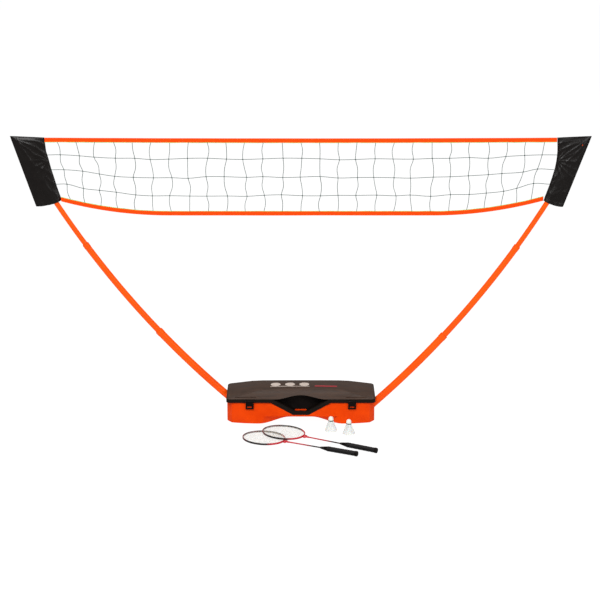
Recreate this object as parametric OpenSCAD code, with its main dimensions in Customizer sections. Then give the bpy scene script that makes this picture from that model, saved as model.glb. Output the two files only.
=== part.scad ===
// Portable badminton set: a carry case that stands as the base, two telescoping poles, a net,
// two rackets and two shuttlecocks. Millimetres, +Z up, origin on the ground under the case's middle.

/* [Case] */
// Length of the case
case_l = 800; // [780:5:840]
// Depth of the case, front to back
case_d = 264; // [255:1:280]
// Height of the joint between tray and lid
rim_z = 115; // [110:1:120]
// Height of the lid at its middle
lid_top = 168; // [162:1:172]
// How far the lid drops towards its ends
lid_drop = 30; // [24:1:31]
// Wall of the moulded shells
wall = 3; // [2.5:0.1:3.5]
// Height of the lid's rim band
band_h = 20; // [18:1:22]

/* [Handle] */
// Half width of the handle's dip at the rim
dip_top = 164; // [155:1:175]
// Half width of the handle's dip at its lowest
dip_low = 43; // [38:1:50]
// Height of the lowest edge of the handle
dip_z = 46; // [42:1:50]

/* [Poles] */
// Distance from the middle to the point that a pole's line heads for
tip_x = 1494; // [1490:1:1498]
// Height of that point
tip_z = 1543; // [1540:1:1545]
// Radius that the poles are bent to
pole_r = 4965; // [4940:5:4990]
// Slope of a pole at that point, in degrees
tip_slope = 63.6; // [63.4:0.1:63.8]
// Lean of a pole's plane, in degrees
pole_lean = 2.2; // [2:0.1:2.4]
// Outer diameter of the lower tube
lower_d = 40; // [39:0.1:40.5]
// Outer diameter of the middle tube
middle_d = 33.5; // [33:0.1:33.8]
// Outer diameter of the upper tube
upper_d = 27; // [26:0.1:27.2]

/* [Net] */
// Number of upright twines
uprights = 27; // [15:2:31]
// Thickness of the twine
twine = 2; // [1.5:0.1:3]
// Height of the woven tapes
tape_h = 23; // [20:1:26]
// Half width of the mesh between the sleeves
net_half = 1280; // [1270:1:1285]

/* [Rackets] */
// Length of a racket
racket_l = 667; // [650:1:675]
// Length of the head, outside the frame
head_l = 240; // [230:1:250]
// Width of the head, outside the frame
head_w = 195; // [185:1:205]

/* [Shuttlecocks] */
// Diameter of the skirt at the ground
skirt_d = 66; // [62:1:68]
// Height of a shuttlecock
shuttle_h = 80; // [76:1:84]

/* [Hidden] */
$fn = 48;
gap = 0.4;
half_l = case_l / 2;
half_d = case_d / 2;

// Colours
orange = "#E94A08";
black = "#1C1715";
lid_brown = "#3A302C";
pole_orange = "#FF6A0A";
tape_orange = "#FF4F0A";
racket_red = "#C01A2C";
pale = "#E8E2DA";
twine_green = "#4E6B62";

// Smooth step from 0 to 1
function step01(t) = let (c = min(1, max(0, t))) c * c * (3 - 2 * c);

// ---- Case outline ----
foot_step = 39;
bulge_x = 225;
bulge_y = half_d + 12;
end_y = half_d - 14;
waist_x = 60;
waist_y = 33;
corner = 26;

// Front edge of the tray in plan, at a distance u from the middle
function front_y(u, waisted) =
    u > bulge_x ? -bulge_y + (bulge_y - end_y) * pow((u - bulge_x) / (half_l - bulge_x), 2)
    : waisted ? -waist_y - (bulge_y - waist_y) * step01((u - waist_x) / (bulge_x - waist_x))
    : -half_d - (bulge_y - half_d) * step01(u / bulge_x);

module tray_plan(waisted, inset) {
    steps = 40;
    end = half_l - inset;
    front = [for (i = [0 : steps]) let (x = -end + corner + (2 * end - 2 * corner) * i / steps)
        [x, front_y(abs(x), waisted) + inset]];
    back = half_d - inset;
    edge = end_y - inset - 4;
    polygon(concat(front, [[end, -edge + corner], [end, back - corner], [end - corner * 0.3, back - corner * 0.3],
        [end - corner, back], [-end + corner, back], [-end + corner * 0.3, back - corner * 0.3],
        [-end, back - corner], [-end, -edge + corner]]));
}

// Side view of the tray, as Y and Z, with a front wall that flares towards the ground
module tray_side(inset) {
    flare = bulge_y - half_d + 4;
    polygon([[-half_d + 4 + inset, rim_z + 1], [-half_d + 4 - flare + inset, inset],
        [half_d - 6 - inset, inset], [half_d - inset, 14], [half_d - inset, rim_z + 1]]);
}

module along_x(length) {
    rotate([90, 0, 90]) translate([0, 0, -length / 2]) linear_extrude(length) children();
}

module tray_solid(inset) {
    intersection() {
        along_x(case_l) tray_side(inset);
        union() {
            translate([0, 0, inset]) linear_extrude(foot_step + 0.5) tray_plan(true, inset);
            translate([0, 0, foot_step + inset]) linear_extrude(rim_z - foot_step) tray_plan(false, inset);
        }
    }
}

// The handle's dip seen from the front, raised by up and widened by side
module dip(up, side, top) {
    polygon([[-dip_top - side, rim_z + up], [-dip_low - side, dip_z + up], [dip_low + side, dip_z + up],
        [dip_top + side, rim_z + up], [dip_top + side, top], [-dip_top - side, top]]);
}

// Extrudes a front view from y0 to y1
module along_y(y0, y1) {
    translate([0, y1, 0]) rotate([90, 0, 0]) linear_extrude(y1 - y0) children();
}

module case_tray() {
    color(orange) {
        difference() {
            tray_solid(0);
            tray_solid(wall);
            along_y(-half_d - 30, -half_d + wall + 12) dip(0, 0, rim_z + 20);
            for (x = foot_x, y = foot_y) translate([x, y, -1]) cylinder(r = foot_r, h = 1 + foot_t);
            pole_notch();
            rotate([0, 0, 180]) pole_notch();
        }
        // Bosses over the feet
        for (x = foot_x, y = foot_y) translate([x, y, foot_t]) cylinder(r = foot_r + 3, h = wall);
        // Stiffening ribs on the floor
        for (x = [-200, -70, 70, 200])
            translate([x - 1.5, -20, wall - 0.5]) cube([3, 110, 8]);
        // Knuckles and their tabs at the back
        for (x = hinge_x, side = [-1, 1]) {
            knuckle(x + side * 24, 16);
            translate([x + side * 24 - 8, half_d - 1, rim_z - 22]) difference() {
                cube([16, 4.5, 20]);
                translate([-1, 7, 22]) rotate([0, 90, 0]) cylinder(r = knuckle_r - 0.5, h = 18);
            }
        }
    }
}

// Room in the end wall for the right pole
module pole_notch() {
    pole_place() arc_rod(10, 140, lower_d / 2 + 1.5);
    pole_gap();
}

// The same room over the joint of tray and lid
module pole_gap() {
    translate([half_l - 12, -pole_offset(rim_z) - lower_d / 2 - 1.5, rim_z - 22]) cube([24, lower_d + 3, 34]);
}

foot_x = [-280, 280];
foot_y = [-84, 84];
foot_r = 14;
foot_t = 2.4;
module case_feet() {
    color(black) for (x = foot_x, y = foot_y) translate([x, y, 0]) cylinder(r = foot_r, h = foot_t);
}

// ---- Hinge ----
hinge_x = [-235, 235];
hinge_y = half_d + 6;
pin_r = 2.5;
knuckle_r = 4.6;

module knuckle(x, length) {
    translate([x - length / 2, hinge_y, rim_z]) rotate([0, 90, 0]) difference() {
        cylinder(r = knuckle_r, h = length);
        translate([0, 0, -1]) cylinder(r = pin_r + 0.05, h = length + 2);
    }
}

module hinge_pins() {
    color("silver")
        for (x = hinge_x)
            translate([x - 34, hinge_y, rim_z]) rotate([0, 90, 0]) cylinder(r = pin_r, h = 68);
}

// ---- Lid ----
lid_half_l = half_l + 4;
lid_front = half_d + 3;
lid_back = half_d + 1;
ridge_y = -half_d + 34;
ridge_z = 151;
// The top is a shallow arch out to crown_x, and then falls straight to the ends
crown_x = 210;
crown_drop = 3;
arch_end = lid_half_l - 22;
arch_r = (pow(crown_x, 2) + pow(crown_drop, 2)) / (2 * crown_drop);

// Height of the lid's top at a distance x from the middle
function arch_z(x) = abs(x) < crown_x ? lid_top - arch_r + sqrt(pow(arch_r, 2) - pow(x, 2))
    : lid_top - crown_drop - (lid_drop - crown_drop) * (abs(x) - crown_x) / (arch_end - crown_x);

// Front view of the lid, with its arched top and sloped ends
module lid_arch(inset) {
    steps = 20;
    half = arch_end - inset;
    low = rim_z - (inset > 0 ? 1 : 0);
    shoulder = rim_z + band_h - inset;
    polygon(concat([[-lid_half_l + inset, low], [lid_half_l - inset, low], [lid_half_l - inset, shoulder],
        [half, arch_z(half) - inset]],
        [for (i = [0 : steps]) let (x = crown_x - 2 * crown_x * i / steps) [x, arch_z(x) - inset]],
        [[-half, arch_z(half) - inset], [-lid_half_l + inset, shoulder]]));
}

// Side view of the lid, with the sloped face in front of the ridge
module lid_side(inset) {
    back = lid_back - inset;
    polygon([[-lid_front + inset, rim_z - (inset > 0 ? 1 : 0)], [-lid_front + inset, rim_z + band_h - inset * 0.4],
        [ridge_y - 2 + inset * 0.4, ridge_z - inset], [ridge_y + 4, ridge_z + 4 - inset], [-20, lid_top - inset],
        [back - 40, lid_top - inset], [back - 14, lid_top - 12 - inset], [back, rim_z + band_h],
        [back, rim_z - (inset > 0 ? 1 : 0)]]);
}

module lid_plan(inset) {
    corner_r = 22;
    translate([0, (lid_back - lid_front) / 2]) hull()
        for (sx = [-1, 1], sy = [-1, 1])
            translate([sx * (lid_half_l - inset - corner_r), sy * ((lid_back + lid_front) / 2 - inset - corner_r)])
                circle(r = corner_r, $fn = 32);
}

module lid_solid(inset) {
    intersection() {
        along_y(-half_d - 20, half_d + 20) lid_arch(inset);
        along_x(case_l + 40) lid_side(inset);
        translate([0, 0, rim_z - 5]) linear_extrude(80) lid_plan(inset);
    }
}

// Opening of the handle, seen from the front
recess_low = dip_z + band_h;
module recess(grow) {
    steps = 16;
    half = dip_top - 14;
    lip = [for (i = [0 : steps]) let (x = half - 2 * half * i / steps)
        [x * (1 + grow / half), rim_z + band_h - 1 + 15 * pow(cos(90 * x / half), 2) + grow]];
    polygon(concat([[-half - grow, rim_z + band_h - 2], [-dip_low + 11 - grow, recess_low - grow],
        [dip_low - 11 + grow, recess_low - grow], [half + grow, rim_z + band_h - 2]], lip));
}

band_y = -lid_front;
bar_t = 15;
cup_back = -78;

module case_lid() {
    color(lid_brown) {
        difference() {
            lid_solid(0);
            lid_solid(wall);
            along_y(-half_d - 30, cup_back) recess(0);
            pole_gap();
            rotate([0, 0, 180]) pole_gap();
            // Long finger grooves near the ends
            for (s = [-1, 1])
                translate([s * 300, -half_d + 10, rim_z + band_h + 5.6]) rotate([24.6, 0, 0])
                    cube([112, 7, 3.4], center = true);
        }
        // Rim band that dips to form the grip
        difference() {
            along_y(band_y + 0.5, band_y + bar_t) dip(gap, 0, rim_z + band_h - 1);
            along_y(-half_d - 30, cup_back) recess(0);
        }
        // Knuckles and their tabs at the back
        for (x = hinge_x) {
            knuckle(x, 30);
            translate([x - 14, lid_back - 1, rim_z]) difference() {
                translate([0, 0, 2]) cube([28, 3.6, 15]);
                translate([-1, hinge_y - lid_back + 1, 0]) rotate([0, 90, 0]) cylinder(r = knuckle_r - 0.5, h = 30);
            }
        }
    }
}

module handle_cup() {
    color(black)
        difference() {
            intersection() {
                along_y(band_y + bar_t + gap, cup_back + 2.6) recess(2.4);
                union() {
                    lid_solid(wall + gap);
                    translate([-dip_top - 10, -half_d, dip_z]) cube([2 * dip_top + 20, 60, rim_z - dip_z]);
                }
            }
            along_y(-half_d - 30, cup_back) recess(0);
            // Slot in the floor, behind the grip
            translate([-32, band_y + bar_t + 4, dip_z]) cube([64, 14, recess_low - dip_z + 6]);
        }
}

label_t = 0.8;
module label_skin(extra) {
    intersection() {
        along_y(-half_d, half_d) difference() {
            translate([0, lid_top - arch_r + extra + label_t]) circle(r = arch_r, $fn = 720);
            translate([0, lid_top - arch_r + extra]) circle(r = arch_r, $fn = 720);
        }
        translate([0, 0, lid_top - 30]) linear_extrude(60) children();
    }
}

disc_x = [-138, -59, 19];
module lid_label() {
    color(pale) label_skin(0) {
        for (x = disc_x) translate([x, 22]) circle(r = 27);
        translate([-167, -14]) square([214, 6]);
        translate([76, -12]) square([122, 13]);
    }
}

// ---- Latches ----
latch_x = 277;
latch_w = 43;
latch_y = -half_d - 9;
latch_t = 3.4;
latch_pivot_z = rim_z + 10;
latch_low = 81;

module latch(x) {
    color(black)
        translate([x, latch_y, 0]) {
            difference() {
                union() {
                    translate([-latch_w / 2, 0, latch_low]) cube([latch_w, latch_t, latch_pivot_z - latch_low]);
                    translate([-latch_w / 2, latch_t / 2, latch_pivot_z]) rotate([0, 90, 0])
                        cylinder(r = 3.6, h = latch_w);
                    // Thumb lip along the lower edge
                    translate([-latch_w / 2, -2.2, latch_low]) cube([latch_w, 3, 5]);
                }
                translate([-latch_w / 2 - 1, latch_t / 2, latch_pivot_z]) rotate([0, 90, 0])
                    cylinder(r = 1.55, h = latch_w + 2);
                translate([-13, -5, latch_low + 7]) cube([26, 12, 8]);
            }
        }
}

module latch_pins() {
    color("silver")
        for (s = [-1, 1])
            translate([s * latch_x - latch_w / 2 - 5, latch_y + latch_t / 2, latch_pivot_z]) rotate([0, 90, 0])
                cylinder(r = 1.5, h = latch_w + 10);
    color(black)
        for (s = [-1, 1], e = [-1, 1])
            translate([s * latch_x + e * (latch_w / 2 + 3) - 2.2, latch_y + latch_t / 2, latch_pivot_z])
                pin_ear();
}

module pin_ear() {
    difference() {
        union() {
            rotate([0, 90, 0]) cylinder(r = 3.4, h = 4.4);
            translate([0, 0, -3.4]) cube([4.4, -latch_y - latch_t / 2 - lid_front - 0.05, 6.8]);
        }
        translate([-1, 0, 0]) rotate([0, 90, 0]) cylinder(r = 1.5, h = 7);
    }
}

module latch_keepers() {
    color(orange)
        for (s = [-1, 1])
            translate([s * latch_x - 11, -half_d - 4.6, latch_low + 8]) cube([22, 4.8, 6]);
}

// ---- Poles ----
foot_s = 0;
exit_s = 61;
lower_s = 597;
middle_s = 1218;
ref_s = 1892;
tip_s = 1852;
collar_lip = 3;
collar_play = 0.08;
tube_play = 0.1;
socket_s = 30;
plug_cap = 4;
middle_foot_s = 512;
upper_foot_s = 1140;
tube_wall = 1.5;
tip_angle = tip_slope - 90;

// How far a pole stands from the middle plane at a height
function pole_offset(z) = (tip_z - z) * tan(pole_lean);

// Angle round the bend's centre, at a path length from the foot
function pole_angle(s) = tip_angle - (ref_s - s) / pole_r * 180 / PI;

// Puts the right pole's plane in place, with its origin at the point the pole heads for
module pole_place() {
    translate([tip_x, 0, tip_z]) rotate([-pole_lean, 0, 0]) children();
}

module arc_place() {
    translate([-pole_r * sin(tip_slope), 0, pole_r * cos(tip_slope)]) rotate([90, 0, 0]) children();
}

module arc_tube(s0, s1, outer, inner) {
    arc_place() rotate([0, 0, pole_angle(s0)])
        rotate_extrude(angle = pole_angle(s1) - pole_angle(s0), $fn = 1440)
            translate([pole_r, 0]) difference() {
                circle(r = outer);
                circle(r = inner);
            }
}

module arc_rod(s0, s1, outer) {
    arc_place() rotate([0, 0, pole_angle(s0)])
        rotate_extrude(angle = pole_angle(s1) - pole_angle(s0), $fn = 1440)
            translate([pole_r, 0]) circle(r = outer);
}

// Places a straight piece on the bend, with +Z up the pole
module on_pole(s) {
    arc_place() rotate([0, 0, pole_angle(s)]) translate([pole_r, 0, 0]) rotate([-90, 0, 0]) children();
}

// Ferrule round a tube's mouth, with a lip round the next tube
module collar(s, outer, inner, mouth) {
    on_pole(s) rotate_extrude()
        polygon([[inner, -26], [outer - 0.4, -26], [outer, -25], [outer, -1], [outer - 1, 0], [mouth, 0],
            [mouth, -collar_lip], [inner, -collar_lip]]);
}

// Plug in a tube's end; into is 1 where the tube lies above it, and -1 where it lies below
module plug(s, r, into) {
    on_pole(s) rotate([into > 0 ? 0 : 180, 0, 0]) rotate_extrude()
        polygon([[0, -plug_cap], [r - 1.5, -plug_cap], [r, 1.5 - plug_cap], [r, 0], [r - tube_wall - 0.02, 0],
            [r - tube_wall - 0.02, 12], [0, 12]]);
}

// side 1 is the right pole; side 0 is the left pole, which is the right one turned half round
module pole_side(side) {
    rotate([0, 0, side == 1 ? 0 : 180]) pole_place() children();
}

lower_r = lower_d / 2;
middle_r = middle_d / 2;
upper_r = upper_d / 2;
module pole_lower(side) {
    color(pole_orange) pole_side(side) arc_tube(foot_s, lower_s - collar_lip - tube_play, lower_r, lower_r - tube_wall);
}
module pole_lower_collar(side) {
    color(pole_orange) pole_side(side) collar(lower_s, lower_r + 1.2, lower_r + collar_play, middle_r + 0.35);
}
module pole_foot(side) {
    color(black) pole_side(side) plug(foot_s, lower_r, 1);
}
module pole_middle(side) {
    color(pole_orange) pole_side(side)
        arc_tube(middle_foot_s, middle_s - collar_lip - tube_play, middle_r, middle_r - tube_wall);
}
module pole_middle_collar(side) {
    color(pole_orange) pole_side(side) collar(middle_s, middle_r + 1.1, middle_r + collar_play, upper_r + 0.35);
}
module pole_middle_bush(side) {
    color(black) pole_side(side) arc_tube(middle_foot_s, middle_foot_s + 40, lower_r - tube_wall - 0.3, middle_r);
}
module pole_upper(side) {
    color(pole_orange) pole_side(side) arc_tube(upper_foot_s, tip_s, upper_r, upper_r - tube_wall);
}
module pole_upper_bush(side) {
    color(black) pole_side(side) arc_tube(upper_foot_s, upper_foot_s + 40, middle_r - tube_wall - 0.3, upper_r);
}
module pole_tip(side) {
    color(black) pole_side(side) plug(tip_s, upper_r, -1);
}

// ---- Pole sockets, inside the tray ----
module pole_socket(side) {
    base_x = half_l - 96;
    base_y = -pole_offset(60);
    color(black) rotate([0, 0, side == 1 ? 0 : 180]) difference() {
        union() {
            pole_place() arc_rod(foot_s + 2, socket_s, lower_r + 6);
            translate([base_x, base_y - 30, wall]) cube([70, 60, 20]);
            translate([base_x, base_y - 17, wall]) cube([70, 34, 40]);
        }
        pole_place() arc_rod(foot_s - plug_cap - gap, exit_s + 20, lower_r + 0.3);
        for (x = socket_screw_x, y = socket_screw_y)
            translate([base_x + x, base_y + y, wall - 1]) cylinder(r = 2.1, h = 30);
    }
}
socket_screw_x = [8, 62];
socket_screw_y = [-24, 24];
module socket_screws() {
    color("silver")
        for (turn = [0, 180]) rotate([0, 0, turn])
            for (x = socket_screw_x, y = socket_screw_y)
                translate([half_l - 96 + x, -pole_offset(60) + y, wall]) {
                    cylinder(r = 2.05, h = 20);
                    translate([0, 0, 20]) cylinder(r = 4.2, h = 2.4);
                }
}

// ---- Net, drawn in its front view ----
tape_half = tape_h / 2;
net_x = 1345;
// Middle line of each tape
function top_line(x) = 1526 + 4 * pow(x / net_x, 2);
function bottom_line(x) = 1134 + 79 * pow(max(0, (abs(x) - 700) / 580), 2);
// Height of a row of twine, as a share of the way down
function row_line(x, f) = (top_line(x) - tape_half) * (1 - f) + (bottom_line(x) + tape_half) * f;
rows = [0.235, 0.505, 0.77];
// Inner edge of each sleeve from its foot up, as height and distance out: left, then right
sleeve_inner = [
    [[1202, 1272], [1223, 1276], [1263, 1289], [1325, 1305], [1379, 1320], [1432, 1331], [1468, 1341], [1541, 1347]],
    [[1206, 1286], [1226, 1292], [1268, 1307], [1325, 1325], [1383, 1341], [1432, 1348], [1472, 1350], [1541, 1347]]];
function sleeve_edge(z, side) = lookup(z, sleeve_inner[side]);
low_tape_end = [1271, 1285];
// Inward lean of the upright twines towards the ends
function lean(x) = -60 * sign(x) * pow(abs(x) / net_half, 6);
function strip_edge(x0, x1, n) = [for (i = [0 : n]) x0 + (x1 - x0) * i / n];

module band(x0, x1, up) {
    xs = strip_edge(x0, x1, 36);
    polygon(concat([for (x = xs) [x, up == 1 ? top_line(x) + tape_half : bottom_line(x) + tape_half]],
        [for (i = [len(xs) - 1 : -1 : 0]) [xs[i], up == 1 ? top_line(xs[i]) - tape_half
            : bottom_line(xs[i]) - tape_half]]));
}

module net_mesh() {
    tape_gap = 0.3;
    color(twine_green) along_y(-twine / 2, twine / 2) difference() {
        union() {
            for (k = [0 : uprights - 1]) {
                x = -net_half + 2 * net_half * k / (uprights - 1);
                top = top_line(x) - tape_half;
                low_x = x + lean(x);
                low = bottom_line(low_x) + tape_half;
                polygon([[x - twine / 2, top + 4], [x + twine / 2, top + 4],
                    [low_x + twine / 2, low - 4], [low_x - twine / 2, low - 4]]);
            }
            for (f = rows) row_strip(f);
        }
        offset_band(1, tape_gap);
        offset_band(0, tape_gap);
    }
}

module offset_band(up, grow) {
    xs = strip_edge(-net_x, net_x, 36);
    line = [for (x = xs) up == 1 ? top_line(x) : bottom_line(x)];
    reach = tape_half + grow;
    polygon(concat([for (i = [0 : len(xs) - 1]) [xs[i], line[i] + reach]],
        [for (i = [len(xs) - 1 : -1 : 0]) [xs[i], line[i] - reach]]));
}

module row_strip(f) {
    z = row_line(net_half, f);
    xs = strip_edge(1 - sleeve_edge(z, 0), sleeve_edge(z, 1) - 1, 40);
    polygon(concat([for (x = xs) [x, row_line(x, f) + twine / 2]],
        [for (i = [len(xs) - 1 : -1 : 0]) [xs[i], row_line(xs[i], f) - twine / 2]]));
}

tape_t = 3;
module net_tape_top() {
    color(tape_orange) along_y(-tape_t / 2, tape_t / 2) band(-net_x, net_x, 1);
}
module net_tape_bottom() {
    color(tape_orange) along_y(-tape_t / 2, tape_t / 2) band(-low_tape_end[0], low_tape_end[1], 0);
}

// Sleeve outlines, both drawn on the right
sleeve_t = 34;
sleeve_foot = [[[1302, 1187], [1352, 1176], [1406, 1169]], [[1313, 1191], [1352, 1181], [1388, 1173]]];
sleeve_corner = [1525, 1549];
module sleeve_outline(side) {
    polygon(concat([for (i = [len(sleeve_inner[side]) - 1 : -1 : 0])
        [sleeve_inner[side][i][1], sleeve_inner[side][i][0]]], sleeve_foot[side], [sleeve_corner]));
}
module sleeve(side) {
    cloth = 1.6;
    // The pocket leans with its pole
    color(black) rotate([0, 0, side == 1 ? 0 : 180]) pole_place() translate([-tip_x, 0, -tip_z]) difference() {
        along_y(-sleeve_t / 2, sleeve_t / 2) sleeve_outline(side);
        along_y(-sleeve_t / 2 + cloth, sleeve_t / 2 - cloth) offset(delta = -cloth) sleeve_outline(side);
        // Mouth that the pole goes in by
        translate([1282, -sleeve_t / 2 + cloth, 1160]) cube([46, sleeve_t - 2 * cloth, 50]);
    }
}

// ---- Rackets: drawn along +X from the butt, with the strings at height 0 ----
grip_l = 170;
cone_l = 42;
joint_l = 30;
frame_t = 10.5;
frame_w = 8;
head_x = racket_l - head_l / 2;
throat_x = racket_l - head_l;
shaft_r = 3.6;

// The front racket, then the back one, whose head lies on the front one's
racket_at = [[290, -632, 152.4, 14.6, -0.80], [393, -586, 152.2, 14.6, 0.55]];
module racket_place(which) {
    p = racket_at[which];
    translate([p[0], p[1], p[3]]) rotate([0, 0, p[2]]) rotate([0, -p[4], 0]) children();
}

module head_ring(outer, inner, height) {
    translate([head_x, 0, -height / 2]) linear_extrude(height) difference() {
        scale([1, (head_w - 2 * outer) / (head_l - 2 * outer)]) circle(r = head_l / 2 - outer, $fn = 96);
        scale([1, (head_w - 2 * inner) / (head_l - 2 * inner)]) circle(r = head_l / 2 - inner, $fn = 96);
    }
}

module racket_frame(which) {
    color(racket_red) racket_place(which) union() {
        head_ring(1.2, frame_w, frame_t);
        head_ring(0, frame_w - 1.6, frame_t - 4);
    }
}
string_pitch = 15;
module racket_strings(which) {
    inner = head_l / 2 - frame_w - 0.4;
    inner_w = head_w / 2 - frame_w - 0.4;
    color(pale) racket_place(which) translate([head_x, 0, -0.5]) linear_extrude(1) intersection() {
        scale([1, inner_w / inner]) circle(r = inner, $fn = 96);
        union() {
            for (i = [-7 : 7]) translate([i * string_pitch - 0.5, -head_w / 2]) square([1, head_w]);
            for (i = [-5 : 5]) translate([-head_l / 2, i * string_pitch - 0.5]) square([head_l, 1]);
        }
    }
}
module racket_joint(which) {
    color(racket_red) racket_place(which) difference() {
        union() {
            translate([throat_x - joint_l, 0, 0]) rotate([0, 90, 0]) cylinder(r1 = shaft_r + 1, r2 = 5, h = joint_l - 1);
            translate([throat_x - 8, 0, 0]) cube([12, 26, 8], center = true);
        }
        translate([head_x, 0, -10]) linear_extrude(20)
            scale([1, head_w / head_l]) circle(r = head_l / 2 + 0.3, $fn = 96);
    }
}
module racket_shaft(which) {
    color(racket_red) racket_place(which)
        translate([grip_l + cone_l, 0, 0]) rotate([0, 90, 0])
            cylinder(r = shaft_r, h = throat_x - joint_l - grip_l - cone_l);
}
module racket_cone(which) {
    color(black) racket_place(which)
        translate([grip_l, 0, 0]) rotate([0, 90, 0]) cylinder(r1 = 12.5, r2 = shaft_r + 1.6, h = cone_l);
}
module racket_grip(which) {
    color(black) racket_place(which)
        translate([12, 0, 0]) rotate([0, 90, 0]) rotate([0, 0, 22.5]) cylinder(r = 13.4, h = grip_l - 12, $fn = 8);
}
module racket_cap(which) {
    color(black) racket_place(which) rotate([0, 90, 0]) {
        cylinder(r1 = 13, r2 = 14.4, h = 4);
        translate([0, 0, 4]) cylinder(r = 14.4, h = 8);
    }
}

// ---- Shuttlecocks, standing on their skirts ----
shuttle_at = [[161, -250], [255, -295]];
cork_r = 13.5;
skirt_h = 55;
skirt_t = 1.6;
module shuttle_place(which) {
    translate([shuttle_at[which][0], shuttle_at[which][1], 0]) children();
}
module shuttle_skirt(which) {
    r0 = skirt_d / 2;
    color(pale) shuttle_place(which) rotate_extrude()
        polygon([[r0 - skirt_t, 0], [r0, 0], [cork_r - 0.5, skirt_h], [cork_r - 0.5 - skirt_t, skirt_h]]);
}
module shuttle_band(which) {
    color(black) shuttle_place(which) translate([0, 0, skirt_h]) cylinder(r = cork_r + 0.4, h = 4);
}
module shuttle_cork(which) {
    base = skirt_h + 4;
    color(pale) shuttle_place(which) translate([0, 0, base]) rotate_extrude() intersection() {
        union() {
            square([cork_r, shuttle_h - base - 12]);
            translate([0, shuttle_h - base - cork_r]) circle(r = cork_r);
        }
        square([cork_r + 1, shuttle_h]);
    }
}

case_tray();
case_feet();
hinge_pins();
pole_socket(0);  // pole_socket_left
pole_socket(1);  // pole_socket_right
socket_screws();
latch_keepers();
case_lid();
handle_cup();
lid_label();
latch_pins();
latch(-latch_x);  // latch_left
latch(latch_x);  // latch_right
pole_lower(0);  // pole_left_lower
pole_lower_collar(0);  // pole_left_lower_collar
pole_foot(0);  // pole_left_foot
pole_middle(0);  // pole_left_middle
pole_middle_collar(0);  // pole_left_middle_collar
pole_middle_bush(0);  // pole_left_middle_bush
pole_upper(0);  // pole_left_upper
pole_upper_bush(0);  // pole_left_upper_bush
pole_tip(0);  // pole_left_tip
pole_lower(1);  // pole_right_lower
pole_lower_collar(1);  // pole_right_lower_collar
pole_foot(1);  // pole_right_foot
pole_middle(1);  // pole_right_middle
pole_middle_collar(1);  // pole_right_middle_collar
pole_middle_bush(1);  // pole_right_middle_bush
pole_upper(1);  // pole_right_upper
pole_upper_bush(1);  // pole_right_upper_bush
pole_tip(1);  // pole_right_tip
net_mesh();
net_tape_top();
net_tape_bottom();
sleeve(0);  // net_sleeve_left
sleeve(1);  // net_sleeve_right
racket_frame(0);  // racket_front_frame
racket_strings(0);  // racket_front_strings
racket_joint(0);  // racket_front_joint
racket_shaft(0);  // racket_front_shaft
racket_cone(0);  // racket_front_cone
racket_grip(0);  // racket_front_grip
racket_cap(0);  // racket_front_cap
racket_frame(1);  // racket_back_frame
racket_strings(1);  // racket_back_strings
racket_joint(1);  // racket_back_joint
racket_shaft(1);  // racket_back_shaft
racket_cone(1);  // racket_back_cone
racket_grip(1);  // racket_back_grip
racket_cap(1);  // racket_back_cap
shuttle_cork(0);  // shuttle_left_cork
shuttle_band(0);  // shuttle_left_band
shuttle_skirt(0);  // shuttle_left_skirt
shuttle_cork(1);  // shuttle_right_cork
shuttle_band(1);  // shuttle_right_band
shuttle_skirt(1);  // shuttle_right_skirt
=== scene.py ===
import math
import random

import bmesh
import bpy
from mathutils import Matrix, Vector, noise


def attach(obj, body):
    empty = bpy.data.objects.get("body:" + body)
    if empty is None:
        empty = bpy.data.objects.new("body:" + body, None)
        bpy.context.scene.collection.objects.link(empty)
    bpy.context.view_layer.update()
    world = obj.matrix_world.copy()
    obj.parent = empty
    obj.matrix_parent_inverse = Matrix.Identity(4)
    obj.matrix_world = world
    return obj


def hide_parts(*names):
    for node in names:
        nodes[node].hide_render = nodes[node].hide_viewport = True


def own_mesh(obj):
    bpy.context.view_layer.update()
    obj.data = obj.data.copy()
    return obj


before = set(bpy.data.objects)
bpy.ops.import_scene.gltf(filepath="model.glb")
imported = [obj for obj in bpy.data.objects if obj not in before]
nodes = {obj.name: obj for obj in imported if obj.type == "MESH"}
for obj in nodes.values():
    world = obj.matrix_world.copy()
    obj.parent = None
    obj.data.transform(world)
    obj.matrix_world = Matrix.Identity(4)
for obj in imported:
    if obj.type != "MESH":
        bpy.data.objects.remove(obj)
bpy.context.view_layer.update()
random.seed(11)
mm = 0.001
weld = 0.02 * mm
print("frame loaded:", len(nodes), "nodes")

# Camera and studio

view = {"place": (-0.0045, -8.5367, 3.0926), "pitch": 0.2781, "lens": 98.75, "sensor": 36}
studio = {"floor": 90, "floorDrop": 0.4 * mm, "floorGlow": 0.97, "backdrop": 80, "world": 0.3}
lights = {
    "keyLight": {"place": (-2.5, -5.0, 6.0), "target": (0, 0, 0.6), "size": 3.0, "power": 360},
    "fillLight": {"place": (4.0, -4.5, 3.5), "target": (0, 0, 0.6), "size": 3.0, "power": 120},
    "topLight": {"place": (0, 2.5, 5.5), "target": (0, 0, 0.2), "size": 4.0, "power": 130}}


def linearColour(hexText):
    channels = [int(hexText[i:i + 2], 16) / 255 for i in (1, 3, 5)]
    return tuple(c / 12.92 if c <= 0.04045 else ((c + 0.055) / 1.055) ** 2.4 for c in channels) + (1.0,)


def addNode(tree, kind, links=None, values=None, stops=(), **settings):
    node = tree.nodes.new(kind)
    for name, value in settings.items():
        setattr(node, name, value)
    for name, value in (values or {}).items():
        node.inputs[name].default_value = value
    for name, socket in (links or {}).items():
        tree.links.new(socket, node.inputs[name])
    for i, (place, colour) in enumerate(stops):
        spot = node.color_ramp.elements[i] if i < 2 else node.color_ramp.elements.new(place)
        spot.position, spot.color = place, linearColour(colour)
    return node


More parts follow.
